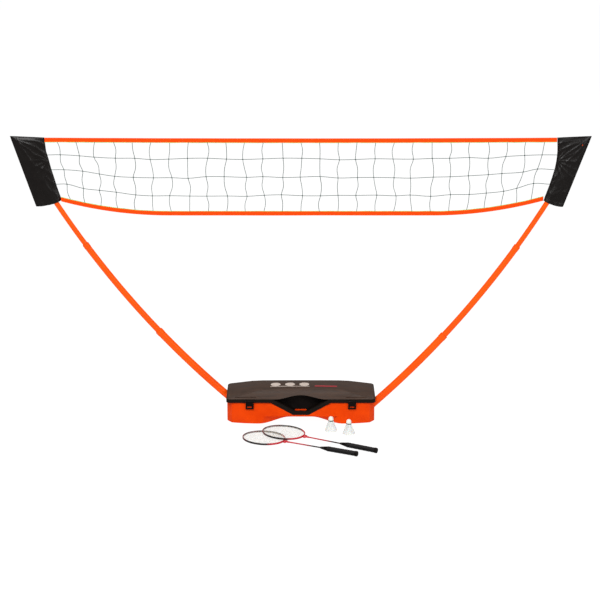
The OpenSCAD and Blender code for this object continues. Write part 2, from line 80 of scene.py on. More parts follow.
def newMaterial(name, colour, values):
    material = bpy.data.materials.new(name)
    material.use_nodes = True
    tree = material.node_tree
    shader = tree.nodes["Principled BSDF"]
    shader.inputs["Base Color"].default_value = linearColour(colour)
    for socket, value in values.items():
        shader.inputs[socket].default_value = value
    place = addNode(tree, "ShaderNodeTexCoord").outputs["Object"]
    return material, tree, shader, place


def noiseScale(size):  # size of a blotch or grain in millimetres
    return 1000 / size


def waveScale(period):  # spacing of threads or ridges in millimetres
    return 314 / period


cameraData = bpy.data.cameras.new("camera")
cameraData.lens = view["lens"]
cameraData.sensor_width = view["sensor"]
camera = bpy.data.objects.new("camera", cameraData)
camera.location = view["place"]
camera.rotation_euler = (math.pi / 2 - view["pitch"], 0, 0)
bpy.context.scene.collection.objects.link(camera)
bpy.context.scene.camera = camera
bpy.context.scene.view_settings.view_transform = "Standard"

world = bpy.data.worlds.new("studio")
world.use_nodes = True
world.node_tree.nodes["Background"].inputs["Color"].default_value = linearColour("#FFFFFF")
world.node_tree.nodes["Background"].inputs["Strength"].default_value = studio["world"]
bpy.context.scene.world = world

for name, light in lights.items():
    data = bpy.data.lights.new(name, "AREA")
    data.size, data.energy = light["size"], light["power"]
    lamp = bpy.data.objects.new(name, data)
    lamp.location = light["place"]
    way = Vector(light["target"]) - Vector(light["place"])
    lamp.rotation_euler = way.to_track_quat("-Z", "Y").to_euler()
    bpy.context.scene.collection.objects.link(lamp)


def stagePiece(name, mesh, paper):
    data = bpy.data.meshes.new(name)
    mesh.to_mesh(data)
    mesh.free()
    data.materials.append(paper)
    piece = bpy.data.objects.new(name, data)
    piece.visible_glossy = False
    bpy.context.scene.collection.objects.link(piece)
    return piece


# Matt paper that glows a little, so that it stays white without glare
floorPaper = newMaterial("floorPaper", "#5A5A5A", {
    "Roughness": 0.9, "Specular IOR Level": 0.05, "Emission Color": linearColour("#FFFFFF"),
    "Emission Strength": studio["floorGlow"]})[0]
floorMesh = bmesh.new()
bmesh.ops.create_grid(floorMesh, x_segments=1, y_segments=1, size=studio["floor"])
floor = stagePiece("floor", floorMesh, floorPaper)
floor.location.z = -studio["floorDrop"]

# Evenly lit white paper, seen but not lighting anything
backdropPaper = newMaterial("backdropPaper", "#FFFFFF", {
    "Roughness": 1.0, "Emission Color": linearColour("#FFFFFF"), "Emission Strength": 1.0})[0]
backdropMesh = bmesh.new()
bmesh.ops.create_icosphere(backdropMesh, subdivisions=4, radius=studio["backdrop"])
backdrop = stagePiece("backdrop", backdropMesh, backdropPaper)
backdrop.visible_diffuse = backdrop.visible_shadow = backdrop.visible_transmission = False
print("studio ready")


# Materials

def mouldedPlastic(name, colour, shade, roughness, grain, gloss=0.25):
    # Injection-moulded polypropylene or ABS: satin skin with a fine spark-eroded grain and soft scuffs
    material, tree, shader, place = newMaterial(name, colour, {"Specular IOR Level": gloss})
    cloud = addNode(tree, "ShaderNodeTexNoise", {"Vector": place}, {"Scale": noiseScale(70), "Detail": 3.0})
    tint = addNode(tree, "ShaderNodeValToRGB", {"Fac": cloud.outputs["Fac"]}, stops=[(0.35, shade), (0.62, colour)])
    tree.links.new(tint.outputs["Color"], shader.inputs["Base Color"])
    scuff = addNode(tree, "ShaderNodeTexNoise", {"Vector": place}, {"Scale": noiseScale(14), "Detail": 8.0})
    dull = addNode(tree, "ShaderNodeMapRange", {"Value": scuff.outputs["Fac"]},
                   {"From Min": 0.35, "From Max": 0.7, "To Min": roughness - 0.05, "To Max": roughness + 0.1})
    tree.links.new(dull.outputs["Result"], shader.inputs["Roughness"])
    skin = addNode(tree, "ShaderNodeTexNoise", {"Vector": place}, {"Scale": noiseScale(grain), "Detail": 2.0})
    bump = addNode(tree, "ShaderNodeBump", {"Height": skin.outputs["Fac"]}, {"Strength": 0.25, "Distance": 0.0002})
    tree.links.new(bump.outputs["Normal"], shader.inputs["Normal"])
    return material


def mouldedLid(name, colour, shade, rim, rimShadeTop):
    # Moulded ABS with long flow marks that catch the light, over a rim painted near-black: the rim's dark plastic
    # together with painted shade of its recesses
    material, tree, shader, place = newMaterial(name, colour, {"Specular IOR Level": 0.16})
    stretch = addNode(tree, "ShaderNodeMapping", {"Vector": place}, {"Scale": (0.22, 1, 0.6)})
    flow = addNode(tree, "ShaderNodeTexNoise", {"Vector": stretch.outputs["Vector"]},
                   {"Scale": noiseScale(22), "Detail": 5.0, "Distortion": 1.2})
    tint = addNode(tree, "ShaderNodeValToRGB", {"Fac": flow.outputs["Fac"]}, stops=[(0.32, shade), (0.68, colour)])
    parts = addNode(tree, "ShaderNodeSeparateXYZ", {"Vector": place})
    # Below the rim line the lid is painted near-black, standing in for the rim's dark plastic and for painted shade
    # in its recesses
    aboveRimShade = addNode(tree, "ShaderNodeMapRange", {"Value": parts.outputs["Z"]},
                    {"From Min": rimShadeTop - 0.3 * mm, "From Max": rimShadeTop + 0.3 * mm})
    mix = addNode(tree, "ShaderNodeMix", {0: aboveRimShade.outputs["Result"], 7: tint.outputs["Color"]},
                  {6: linearColour(rim)}, data_type="RGBA")
    tree.links.new(mix.outputs[2], shader.inputs["Base Color"])
    dull = addNode(tree, "ShaderNodeMapRange", {"Value": flow.outputs["Fac"]}, {"To Min": 0.3, "To Max": 0.5})
    tree.links.new(dull.outputs["Result"], shader.inputs["Roughness"])
    skin = addNode(tree, "ShaderNodeTexNoise", {"Vector": place}, {"Scale": noiseScale(0.9), "Detail": 2.0})
    bump = addNode(tree, "ShaderNodeBump", {"Height": skin.outputs["Fac"]}, {"Strength": 0.25, "Distance": 0.0002})
    tree.links.new(bump.outputs["Normal"], shader.inputs["Normal"])
    return material


def powderCoat(name, colour, shade):
    # Powder-coated steel tube: satin paint with a faint orange-peel ripple
    material, tree, shader, place = newMaterial(name, colour, {
        "Roughness": 0.4, "Coat Weight": 0.05, "Coat Roughness": 0.2, "Specular IOR Level": 0.12})
    cloud = addNode(tree, "ShaderNodeTexNoise", {"Vector": place}, {"Scale": noiseScale(120), "Detail": 2.0})
    tint = addNode(tree, "ShaderNodeValToRGB", {"Fac": cloud.outputs["Fac"]}, stops=[(0.3, shade), (0.65, colour)])
    tree.links.new(tint.outputs["Color"], shader.inputs["Base Color"])
    peel = addNode(tree, "ShaderNodeTexNoise", {"Vector": place}, {"Scale": noiseScale(3), "Detail": 1.0})
    bump = addNode(tree, "ShaderNodeBump", {"Height": peel.outputs["Fac"]}, {"Strength": 0.12, "Distance": 0.0003})
    tree.links.new(bump.outputs["Normal"], shader.inputs["Normal"])
    return material


def wovenCloth(name, colour, shade, thread, roughness, sheen, gloss):
    # Plain-weave synthetic cloth, drawn with threads coarse enough to show
    material, tree, shader, place = newMaterial(name, colour, {
        "Roughness": roughness, "Sheen Weight": sheen, "Sheen Roughness": 0.4, "Specular IOR Level": gloss})
    warp = addNode(tree, "ShaderNodeTexWave", {"Vector": place}, {"Scale": waveScale(thread)}, bands_direction="X")
    weft = addNode(tree, "ShaderNodeTexWave", {"Vector": place}, {"Scale": waveScale(thread)}, bands_direction="Z")
    weave = addNode(tree, "ShaderNodeMath", {0: warp.outputs["Fac"], 1: weft.outputs["Fac"]}, operation="MULTIPLY")
    wear = addNode(tree, "ShaderNodeTexNoise", {"Vector": place}, {"Scale": noiseScale(45), "Detail": 4.0})
    mix = addNode(tree, "ShaderNodeMath", {0: weave.outputs["Value"], 1: wear.outputs["Fac"]}, operation="ADD")
    tint = addNode(tree, "ShaderNodeValToRGB", {"Fac": mix.outputs["Value"]}, stops=[(0.3, shade), (0.95, colour)])
    tree.links.new(tint.outputs["Color"], shader.inputs["Base Color"])
    bump = addNode(tree, "ShaderNodeBump", {"Height": weave.outputs["Value"]}, {"Strength": 0.35, "Distance": 0.0004})
    tree.links.new(bump.outputs["Normal"], shader.inputs["Normal"])
    return material


def twistedCord(name, colour, shade, lay):
    # Laid polyethylene twine: waxy strands that wind round the cord
    material, tree, shader, place = newMaterial(name, colour, {"Roughness": 0.55, "Specular IOR Level": 0.4})
    strand = addNode(tree, "ShaderNodeTexWave", {"Vector": place}, {"Scale": waveScale(lay)},
                     bands_direction="DIAGONAL")
    tint = addNode(tree, "ShaderNodeValToRGB", {"Fac": strand.outputs["Fac"]}, stops=[(0.1, shade), (0.7, colour)])
    tree.links.new(tint.outputs["Color"], shader.inputs["Base Color"])
    bump = addNode(tree, "ShaderNodeBump", {"Height": strand.outputs["Fac"]}, {"Strength": 0.5, "Distance": 0.0004})
    tree.links.new(bump.outputs["Normal"], shader.inputs["Normal"])
    return material


def racketLacquer(name, stops, along=None):
    # Sprayed lacquer on tube: colours fade into each other along the racket, under a clear coat
    material, tree, shader, place = newMaterial(name, stops[0][1], {
        "Roughness": 0.28, "Coat Weight": 0.6, "Coat Roughness": 0.08})
    if along:  # a start point and a direction, with the length that the fade covers
        start, way, length = along
        offset = addNode(tree, "ShaderNodeVectorMath", {0: place}, {1: start}, operation="SUBTRACT")
        reach = addNode(tree, "ShaderNodeVectorMath", {0: offset.outputs["Vector"]}, {1: way},
                        operation="DOT_PRODUCT")
        tone = addNode(tree, "ShaderNodeMath", {0: reach.outputs["Value"]}, {1: length}, operation="DIVIDE")
        share = tone.outputs["Value"]
    else:
        share = addNode(tree, "ShaderNodeAttribute", attribute_name="tone").outputs["Fac"]
    tint = addNode(tree, "ShaderNodeValToRGB", {"Fac": share}, stops=stops)
    fleck = addNode(tree, "ShaderNodeTexNoise", {"Vector": place}, {"Scale": noiseScale(2), "Detail": 2.0})
    bump = addNode(tree, "ShaderNodeBump", {"Height": fleck.outputs["Fac"]}, {"Strength": 0.05, "Distance": 0.0002})
    tree.links.new(tint.outputs["Color"], shader.inputs["Base Color"])
    tree.links.new(bump.outputs["Normal"], shader.inputs["Normal"])
    return material


def softSkin(name, colour, shade, grain, roughness, strength, values):
    # Coated foam, rubber or nylon: an even colour over a fine pebbled skin
    material, tree, shader, place = newMaterial(name, colour, {"Roughness": roughness, **values})
    cloud = addNode(tree, "ShaderNodeTexNoise", {"Vector": place}, {"Scale": noiseScale(9), "Detail": 3.0})
    tint = addNode(tree, "ShaderNodeValToRGB", {"Fac": cloud.outputs["Fac"]}, stops=[(0.3, shade), (0.7, colour)])
    tree.links.new(tint.outputs["Color"], shader.inputs["Base Color"])
    pebble = addNode(tree, "ShaderNodeTexVoronoi", {"Vector": place}, {"Scale": noiseScale(grain)})
    bump = addNode(tree, "ShaderNodeBump", {"Height": pebble.outputs["Distance"]},
                   {"Strength": strength, "Distance": 0.0003})
    tree.links.new(bump.outputs["Normal"], shader.inputs["Normal"])
    return material


def drawnSteel(name):
    # Zinc-plated drawn rod, with fine lines along it
    material, tree, shader, place = newMaterial(name, "#B9B9B6", {"Metallic": 1.0})
    stretch = addNode(tree, "ShaderNodeMapping", {"Vector": place}, {"Scale": (0.05, 1, 1)})
    line = addNode(tree, "ShaderNodeTexNoise", {"Vector": stretch.outputs["Vector"]}, {"Scale": noiseScale(0.8)})
    dull = addNode(tree, "ShaderNodeMapRange", {"Value": line.outputs["Fac"]}, {"To Min": 0.25, "To Max": 0.5})
    tree.links.new(dull.outputs["Result"], shader.inputs["Roughness"])
    return material


def printedLabel(name, pale, red, edge):
    # Screen-printed ink: pale shapes, and one red stripe to the right of edge
    material, tree, shader, place = newMaterial(name, pale, {"Roughness": 0.45})
    parts = addNode(tree, "ShaderNodeSeparateXYZ", {"Vector": place})
    side = addNode(tree, "ShaderNodeMath", {0: parts.outputs["X"]}, {1: edge}, operation="GREATER_THAN")
    speck = addNode(tree, "ShaderNodeTexNoise", {"Vector": place}, {"Scale": noiseScale(3), "Detail": 3.0})
    ink = addNode(tree, "ShaderNodeValToRGB", {"Fac": speck.outputs["Fac"]}, stops=[(0.35, "#B5A69B"), (0.6, pale)])
    mix = addNode(tree, "ShaderNodeMix", {0: side.outputs["Value"], 6: ink.outputs["Color"]},
                  {7: linearColour(red)}, data_type="RGBA")
    tree.links.new(mix.outputs[2], shader.inputs["Base Color"])
    return material


trayPolypropylene = mouldedPlastic("trayPolypropylene", "#E84300", "#DE3C00", 0.45, 0.9, 0.06)
# The near-black rim colour is partly the rim's dark plastic and partly painted shade of the rim's recesses
lidAbs = mouldedLid("lidAbs", "#442E20", "#332217", "#17110D", 135.4 * mm)
blackPolypropylene = mouldedPlastic("blackPolypropylene", "#140E0C", "#0D0908", 0.42, 0.8, 0.1)
polePowderCoat = powderCoat("polePowderCoat", "#FC5800", "#F45000")
tapePolyester = wovenCloth("tapePolyester", "#FF4A00", "#E83C00", 3.0, 0.75, 0.05, 0.1)
sleeveNylon = wovenCloth("sleeveNylon", "#130F0D", "#090605", 2.4, 0.33, 0.01, 0.28)
netTwine = twistedCord("netTwine", "#30504A", "#1C342F", 5)
limeCord = twistedCord("limeCord", "#8FD12A", "#6FB51C", 4)
tapeThread = twistedCord("tapeThread", "#FF7A3A", "#F05A1A", 2)
stringNylon = softSkin("stringNylon", "#DCD4C8", "#CCC3B5", 1.5, 0.3, 0.1, {"Subsurface Weight": 0.1})
gripPolyurethane = softSkin("gripPolyurethane", "#151213", "#0C0A0B", 2.2, 0.6, 0.5, {"Specular IOR Level": 0.25})
headCork = softSkin("headCork", "#F4F1EA", "#E9E4DA", 1.6, 0.5, 0.2, {"Subsurface Weight": 0.08})
skirtNylon = softSkin("skirtNylon", "#F6F5F1", "#E8E7E2", 2.0, 0.4, 0.1, {"Subsurface Weight": 0.25})
bandInk = softSkin("bandInk", "#12241B", "#0B1711", 1.8, 0.4, 0.1, {})
footRubber = softSkin("footRubber", "#1B1A19", "#141312", 1.2, 0.85, 0.3, {})
pinSteel = drawnSteel("pinSteel")
labelInk = printedLabel("labelInk", "#D2C3B8", "#B3182C", 70 * mm)

def paintNode(name, material):
    nodes[name].data.materials.clear()
    nodes[name].data.materials.append(material)


poleNodes = [n for n in nodes if n.startswith("pole_") and "socket" not in n]
for names, material in [
    (["case_feet"], footRubber),
    (["hinge_pins", "socket_screws"], pinSteel),
    (["pole_socket_left", "pole_socket_right"], blackPolypropylene),
    (["handle_cup", "latch_left", "latch_right", "latch_pins"], blackPolypropylene),
    (["case_tray", "latch_keepers"], trayPolypropylene),
    (["case_lid"], lidAbs),
    (["lid_label"], labelInk),
    (poleNodes, blackPolypropylene),
    ([n for n in poleNodes if n.endswith(("_lower", "_middle", "_upper", "_collar"))], polePowderCoat),
    ([n for n in nodes if n.startswith("racket_") and n.endswith(("_cone", "_cap"))], blackPolypropylene),
    (["shuttle_left_cork", "shuttle_right_cork"], headCork),
    (["shuttle_left_band", "shuttle_right_band"], bandInk),
]:
    for name in names:
        paintNode(name, material)
print("materials made")


# Shared modelling

def finishPiece(name, mesh, material, body, smooth=True, place=None, replaced=()):
    if place is not None:
        bmesh.ops.transform(mesh, matrix=place, verts=mesh.verts)
    bmesh.ops.recalc_face_normals(mesh, faces=mesh.faces)
    data = bpy.data.meshes.new(name)
    mesh.to_mesh(data)
    mesh.free()
    data.materials.append(material)
    if smooth:
        data.shade_smooth()
    piece = bpy.data.objects.new(name, data)
    bpy.context.scene.collection.objects.link(piece)
    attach(piece, body)
    if replaced:
        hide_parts(*replaced)
    return piece


def applyModifiers(piece):
    bpy.context.view_layer.update()
    graph = bpy.context.evaluated_depsgraph_get()
    data = bpy.data.meshes.new_from_object(piece.evaluated_get(graph))
    piece.modifiers.clear()
    piece.data = data


def tubeMesh(mesh, paths, radius, sides=1, detail=4, smoothLine=True):
    # Adds round cords along lists of points to a bmesh
    curve = bpy.data.curves.new("route", "CURVE")
    curve.dimensions = "3D"
    curve.bevel_depth = radius
    curve.bevel_resolution = sides
    curve.resolution_u = detail
    curve.use_fill_caps = True
    for path in paths:
        line = curve.splines.new("BEZIER" if smoothLine else "POLY")
        points = line.bezier_points if smoothLine else line.points
        points.add(len(path) - 1)
        for spot, point in zip(points, path):
            if smoothLine:
                spot.co = point
                spot.handle_left_type = spot.handle_right_type = "AUTO"
            else:
                spot.co = (*point, 1)
    holder = bpy.data.objects.new("route", curve)
    bpy.context.scene.collection.objects.link(holder)
    bpy.context.view_layer.update()
    data = bpy.data.meshes.new_from_object(holder.evaluated_get(bpy.context.evaluated_depsgraph_get()))
    mesh.from_mesh(data)
    bpy.data.objects.remove(holder)
    bpy.data.curves.remove(curve)
    bpy.data.meshes.remove(data)


def softenedCopy(node, name, material, body, width, joinFlats=True):
    # A moulded shell with the small radii that its tool leaves on every edge
    mesh = bmesh.new()
    mesh.from_mesh(nodes[node].data)
    bmesh.ops.remove_doubles(mesh, verts=mesh.verts, dist=weld)
    if joinFlats:
        bmesh.ops.dissolve_limit(mesh, angle_limit=math.radians(0.6), verts=mesh.verts, edges=mesh.edges)
    sharp = [e for e in mesh.edges if len(e.link_faces) == 2 and e.calc_face_angle(0) > math.radians(28)]
    bmesh.ops.bevel(mesh, geom=sharp, offset=width, offset_type="OFFSET", affect="EDGES", segments=2,
                    profile=0.5, material=-1, clamp_overlap=True)
    piece = finishPiece(name, mesh, material, body, replaced=(node,))
    piece.data.set_sharp_from_angle(angle=math.radians(34))


# Case

case = {"edge": 1.1 * mm, "latchEdge": 0.7 * mm, "tongue": (62 * mm, 3 * mm, 9 * mm), "tongueEdge": 1.2 * mm,
        "tonguePlace": (0, -110 * mm, 67 * mm)}
softenedCopy("case_tray", "caseTray", trayPolypropylene, "case", case["edge"])
softenedCopy("case_lid", "caseLid", lidAbs, "lid", case["edge"])
softenedCopy("handle_cup", "handleCup", blackPolypropylene, "lid", case["edge"], joinFlats=False)
for side in ("left", "right"):
    softenedCopy("latch_" + side, "latch" + side.title(), blackPolypropylene, "latch_" + side,
                 case["latchEdge"])
tongue = bmesh.new()
bmesh.ops.create_cube(tongue, size=1,
                      matrix=Matrix.Translation(case["tonguePlace"]) @ Matrix.Diagonal((*case["tongue"], 1)))
bmesh.ops.bevel(tongue, geom=tongue.edges[:], offset=case["tongueEdge"], affect="EDGES", segments=3, profile=0.5,
                material=-1)
finishPiece("trayTongue", tongue, trayPolypropylene, "case")
print("case made")


# Net

net = {"top": 1.526, "topRise": 0.004, "bottom": 1.134, "bottomRise": 0.079, "flat": 0.7, "curve": 0.58,
       "half": 1.280, "reach": 1.345, "lowEnds": (-1.271, 1.285), "uprights": 27, "rows": [0.235, 0.505, 0.77],
       "twine": 1.5 * mm, "knot": 3.2 * mm, "knotShape": (1.25, 0.8, 0.9), "lean": 0.06, "leanPower": 6,
       "drift": 12 * mm, "endDrift": 0.4, "drop": 5 * mm, "sway": 2.5 * mm, "slack": 9 * mm, "tuck": 3 * mm,
       "hook": 1 * mm, "clear": 4 * mm, "tapeHalf": 11.5 * mm, "keep": 0.59}
# Inner edge of each sleeve from its foot up, as height and distance out
sleeveInner = {
    "left": [(1.202, 1.272), (1.223, 1.276), (1.263, 1.289), (1.325, 1.305), (1.379, 1.320), (1.432, 1.331),
             (1.468, 1.341), (1.541, 1.347)],
    "right": [(1.206, 1.286), (1.226, 1.292), (1.268, 1.307), (1.325, 1.325), (1.383, 1.341), (1.432, 1.348),
              (1.472, 1.350), (1.541, 1.347)]}


def topLine(x):
    return net["top"] + net["topRise"] * (x / net["reach"]) ** 2


def bottomLine(x):
    return net["bottom"] + net["bottomRise"] * max(0, (abs(x) - net["flat"]) / net["curve"]) ** 2


def rowLine(x, share):
    return (topLine(x) - net["tapeHalf"]) * (1 - share) + (bottomLine(x) + net["tapeHalf"]) * share


def innerEdge(z, side):  # the sleeve's inner edge at a height
    line = sleeveInner[side]
    for (z0, x0), (z1, x1) in zip(line, line[1:]):
        if z <= z1:
            return x0 + (x1 - x0) * max(0, z - z0) / (z1 - z0)
    return line[-1][1]


def dropWithNet(piece):
    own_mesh(piece)


def makeNet():
    knots, paths = [], []
    last = net["uprights"] - 1
    for k in range(net["uprights"]):
        x = -net["half"] + 2 * net["half"] * k / last
        lean = -net["lean"] * math.copysign((abs(x) / net["half"]) ** net["leanPower"], x)
        drift = net["drift"] * (net["endDrift"] if k in (0, last) else 1)
        top = Vector((x, 0, topLine(x) - net["tapeHalf"] + net["tuck"]))
        column = []
        for share in net["rows"]:
            knotX = x + lean * share + random.uniform(-1, 1) * drift
            knotZ = rowLine(x, share) + random.uniform(-1, 1) * net["drop"]
            column.append(Vector((knotX, random.uniform(-1, 1) * net["sway"], knotZ)))
        low = Vector((x + lean, 0, bottomLine(x + lean) + net["tapeHalf"] - net["tuck"]))
        knots.append(column)
        line = [top, *column, low]
        loose = []
        for a, b in zip(line, line[1:]):
            loose += [a, a.lerp(b, 0.5) + Vector((random.uniform(-1, 1) * net["slack"], 0, 0))]
        paths.append(loose + [low])
    for row, share in enumerate(net["rows"]):
        endZ = rowLine(net["half"], share)
        left, right = net["hook"] - innerEdge(endZ, "left"), innerEdge(endZ, "right") - net["hook"]
        inside = [column[row] for column in knots
                  if left + net["clear"] < column[row].x < right - net["clear"]]
        paths.append([Vector((left, 0, endZ)), *inside, Vector((right, 0, endZ))])
    mesh = bmesh.new()
    tubeMesh(mesh, paths, net["twine"])
    shape = Matrix.Diagonal((*net["knotShape"], 1))
    for column in knots:
        for spot in column:
            turn = Matrix.Translation(spot) @ Matrix.Rotation(random.uniform(0, 1), 4, "Y") @ shape
            bmesh.ops.create_uvsphere(mesh, u_segments=8, v_segments=5, radius=net["knot"], matrix=turn)
    dropWithNet(finishPiece("netTwine", mesh, netTwine, "net", replaced=("net_mesh",)))


tape = {"columns": 180, "rows": 8, "thick": 2.4 * mm, "inset": 0.4 * mm, "swell": 0.9 * mm, "swellFrom": 0.4,
        "belly": 0.25 * mm, "sway": 1.6 * mm, "lift": 0.5 * mm, "seam": 0.72, "seamOut": 1.45 * mm,
        "stitch": (3.2 * mm, 0.45 * mm, 0.6 * mm), "pitch": 9 * mm, "start": 6 * mm, "cord": 1.3 * mm,
        "cordOut": 0.6 * mm, "cordBack": 0.4 * mm, "cordSway": 1.2 * mm, "cordLift": 1.0 * mm, "cordSteps": 120}


def ripple(x, seed):
    return noise.noise(Vector((x * 3.1, seed, 0.0)))


def makeTape(name, node, ends, middle, inner, seed):
    # A folded binding tape: its outer edge swells, two seams run along it, and a cord edges it by the net
    length, centre = ends[1] - ends[0], (ends[0] + ends[1]) / 2
    mesh = bmesh.new()
    bmesh.ops.create_grid(mesh, x_segments=tape["columns"], y_segments=tape["rows"], size=1)
    for vertex in mesh.verts:
        x, up = centre + vertex.co.x * length / 2, vertex.co.y
        swell = tape["swell"] * max(0, -inner * up - tape["swellFrom"]) + tape["belly"] * math.cos(up * math.pi / 2)
        z = middle(x) + up * (net["tapeHalf"] - tape["inset"]) + tape["lift"] * ripple(x, seed + 5)
        vertex.co = (x, tape["sway"] * ripple(x, seed) - swell, z)
    piece = finishPiece(name, mesh, tapePolyester, "net", replaced=(node,))
    thick = piece.modifiers.new("thickness", "SOLIDIFY")
    thick.thickness = tape["thick"]
    thick.offset = 0
    applyModifiers(piece)
    piece.data.shade_smooth()
    piece.data.set_sharp_from_angle(angle=math.radians(40))
    dropWithNet(piece)
    stitches = bmesh.new()
    for line in (-tape["seam"], tape["seam"]):
        for face in (-1, 1):
            spot = Matrix.Translation((ends[0] + tape["start"], face * tape["seamOut"], line * net["tapeHalf"]))
            bmesh.ops.create_uvsphere(stitches, u_segments=6, v_segments=4, radius=1,
                                      matrix=spot @ Matrix.Diagonal((*tape["stitch"], 1)))
    seam = finishPiece(name + "Seam", stitches, tapeThread, "net")
    repeat = seam.modifiers.new("stitches", "ARRAY")
    repeat.use_relative_offset = False
    repeat.use_constant_offset = True
    repeat.constant_offset_displace = (tape["pitch"], 0, 0)
    repeat.count = int((length - 2 * tape["start"]) / tape["pitch"])
    applyModifiers(seam)
    for vertex in seam.data.vertices:
        x = vertex.co.x
        vertex.co.y += tape["sway"] * ripple(x, seed)
        vertex.co.z += middle(x) + tape["lift"] * ripple(x, seed + 5)
    dropWithNet(seam)
    cord, edge = bmesh.new(), []
    for i in range(tape["cordSteps"] + 1):
        x = ends[0] + length * i / tape["cordSteps"]
        z = middle(x) + inner * (net["tapeHalf"] + tape["cordOut"]) + tape["cordLift"] * ripple(x * 5, seed + 2)
        edge.append(Vector((x, tape["cordSway"] * ripple(x * 4, seed + 9) - tape["cordBack"], z)))
    tubeMesh(cord, [edge], tape["cord"], detail=2)
    dropWithNet(finishPiece(name + "EdgeCord", cord, limeCord, "net"))


makeNet()
makeTape("tapeTop", "net_tape_top", (-net["reach"], net["reach"]), topLine, -1, 3.0)
makeTape("tapeBottom", "net_tape_bottom", net["lowEnds"], bottomLine, 1, 7.0)
print("net made")


# Sleeves over the pole tips

pole = {"bend": 4.965, "slope": 63.6, "point": (1.494, 1.543), "lean": 2.2}
sleeve = {"left": (1.406, 1.169), "right": (1.388, 1.173), "outerTop": (1.525, 1.549), "sag": 7 * mm,
          "columns": 54, "rows": 100, "cloth": 0.8 * mm, "piping": 1.5 * mm, "hem": 0.05, "hemRise": 0.7 * mm,
          "ridge": 15.6 * mm, "gap": 1.2 * mm, "square": 0.88, "round": 7 * mm, "room": 20 * mm, "tent": 0.85,
          "tipFade": 0.1, "edgeFade": 0.07, "wander": 0.16, "crest": 1.6, "fold": 6.5 * mm, "folds": 15,
          "start": 0.1, "reach": 0.42, "least": 0.25, "pinch": 1.42, "pinchFold": 5.2 * mm, "pinchFolds": 7,
          "pinchStart": 0.02, "pinchReach": 0.16, "pipeSteps": 14, "crumple": 4.5 * mm, "keep": 0.15,
          "leftCut": (0.32, 0.39), "leftArea": 0.116, "rightCut": (0.28, 0.39), "rightArea": 0.100}
bendX = pole["point"][0] - pole["bend"] * math.sin(math.radians(pole["slope"]))
bendZ = pole["point"][1] + pole["bend"] * math.cos(math.radians(pole["slope"]))
leanedPlane = (Matrix.Translation((0, 0, pole["point"][1])) @ Matrix.Rotation(math.radians(-pole["lean"]), 4, "X")
               @ Matrix.Translation((0, 0, -pole["point"][1])))


def poleX(z):
    return bendX + math.sqrt(pole["bend"] ** 2 - (bendZ - z) ** 2)


def sleevePoint(u, v, side):
    (lowX, lowZ), (topX, topZ) = sleeve[side], sleeve["outerTop"]
    footZ, headZ = sleeveInner[side][0][0], sleeveInner[side][-1][0]
    innerZ = footZ + (headZ - footZ) * v
    inner = Vector((innerEdge(innerZ, side), innerZ))
    outer = Vector((lowX + (topX - lowX) * v, lowZ + (topZ - lowZ) * v))
    spot = inner.lerp(outer, u)
    spot.y -= sleeve["sag"] * 4 * u * (1 - u) * max(0, 1 - 5 * v)
    return spot, inner, outer


def sleeveFan(spot, centre, count, seed):
    # Drawn folds that run out from one point, sharp along their crests
    offset = centre - spot
    wander = sleeve["wander"] * noise.noise(Vector((spot.x * 8, spot.y * 8, seed)))
    angle = math.atan2(offset.y, offset.x) + wander
    return (1 - abs(math.sin(angle * count))) ** sleeve["crest"], offset.length


def sleeveHeight(u, v, side, seed):
    # Cloth drawn from its seams over the tube, with folds that fan out from the top corner and the inner edge
    spot, inner, outer = sleevePoint(u, v, side)
    tubeX = poleX(spot.y)
    away = (spot.x - tubeX) * sleeve["square"]
    room = (tubeX - inner.x if away < 0 else outer.x - tubeX) * sleeve["square"]
    rounded = math.sqrt(away ** 2 + sleeve["round"] ** 2)
    tent = max(0.0, 1 - rounded / max(room, sleeve["room"])) ** sleeve["tent"]
    tipFade = min(1, (1 - v) / sleeve["tipFade"]) ** 0.5
    edge = min(1, u / sleeve["edgeFade"], (1 - u) / sleeve["edgeFade"]) * tipFade
    crest, far = sleeveFan(spot, Vector(sleeve["outerTop"]), sleeve["folds"], seed)
    fold = sleeve["fold"] * crest * min(1, far / sleeve["start"]) * max(sleeve["least"], 1 - far / sleeve["reach"])
    pinch = Vector((innerEdge(sleeve["pinch"], side), sleeve["pinch"]))
    crest, near = sleeveFan(spot, pinch, sleeve["pinchFolds"], seed + 2)
    fade = max(0, 1 - near / sleeve["pinchReach"]) * min(1, near / sleeve["pinchStart"])
    fold += sleeve["pinchFold"] * crest * fade
    crease = abs(noise.noise(Vector((spot.x * 24 - spot.y * 10, spot.y * 12, seed + 4))))
    fold += sleeve["crumple"] * (1 - 2 * crease) ** 3 * max(0.2, 1 - v)
    ridge = (sleeve["ridge"] - sleeve["gap"]) * tent * min(1, 0.35 + tipFade)
    return edge * (sleeve["gap"] + ridge + fold * (0.55 + 0.45 * (1 - tent)))


